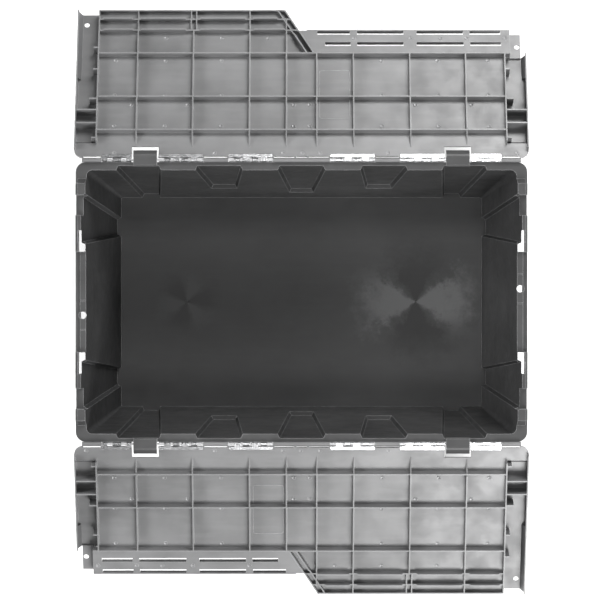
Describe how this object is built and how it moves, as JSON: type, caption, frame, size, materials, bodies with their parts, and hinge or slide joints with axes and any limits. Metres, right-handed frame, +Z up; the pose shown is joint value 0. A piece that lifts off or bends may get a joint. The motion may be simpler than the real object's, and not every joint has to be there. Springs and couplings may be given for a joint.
{
  "type": "attached lid tote",
  "caption": "Tapered open plastic tote with two interlocking ribbed lids on steel rod hinges along its long rims, shown with both lids open.",
  "frame": {"origin": "middle of the base, on the surface the tote stands on", "axes": "+X along the tote, +Y towards the rear lid's hinge, +Z up"},
  "size_m": [0.6866, 0.8986, 0.3134],
  "materials": {
    "tote_plastic": "moulded, slightly satin",
    "lid_plastic": "moulded, satin",
    "leaf_steel": "bright zinc plated",
    "rod_steel": "drawn wire"
  },
  "bodies": {
    "tote": {"tote_body": "tote_plastic", "rear_hinge_rod": "rod_steel", "front_hinge_rod": "rod_steel", "rear_tote_leaf_1": "leaf_steel", "rear_tote_leaf_2": "leaf_steel", "rear_tote_leaf_3": "leaf_steel", "rear_tote_leaf_4": "leaf_steel", "rear_tote_leaf_5": "leaf_steel", "rear_tote_leaf_6": "leaf_steel", "front_tote_leaf_1": "leaf_steel", "front_tote_leaf_2": "leaf_steel", "front_tote_leaf_3": "leaf_steel", "front_tote_leaf_4": "leaf_steel", "front_tote_leaf_5": "leaf_steel", "front_tote_leaf_6": "leaf_steel"},
    "rear_lid": {"rear_lid_panel": "lid_plastic", "rear_lid_leaf_1": "leaf_steel", "rear_lid_leaf_2": "leaf_steel", "rear_lid_leaf_3": "leaf_steel", "rear_lid_leaf_4": "leaf_steel", "rear_lid_leaf_5": "leaf_steel", "rear_lid_leaf_6": "leaf_steel"},
    "front_lid": {"front_lid_panel": "lid_plastic", "front_lid_leaf_1": "leaf_steel", "front_lid_leaf_2": "leaf_steel", "front_lid_leaf_3": "leaf_steel", "front_lid_leaf_4": "leaf_steel", "front_lid_leaf_5": "leaf_steel", "front_lid_leaf_6": "leaf_steel"}
  },
  "joints": [
    {"name": "rear_lid_hinge", "type": "hinge", "parent": "tote", "child": "rear_lid", "pos_m": [0, 0.214, 0.306], "axis": [-1, 0, 0], "range_deg": [-203, 53]},
    {"name": "front_lid_hinge", "type": "hinge", "parent": "tote", "child": "front_lid", "pos_m": [0, -0.214, 0.306], "axis": [1, 0, 0], "range_deg": [-203, 53]}
  ]
}
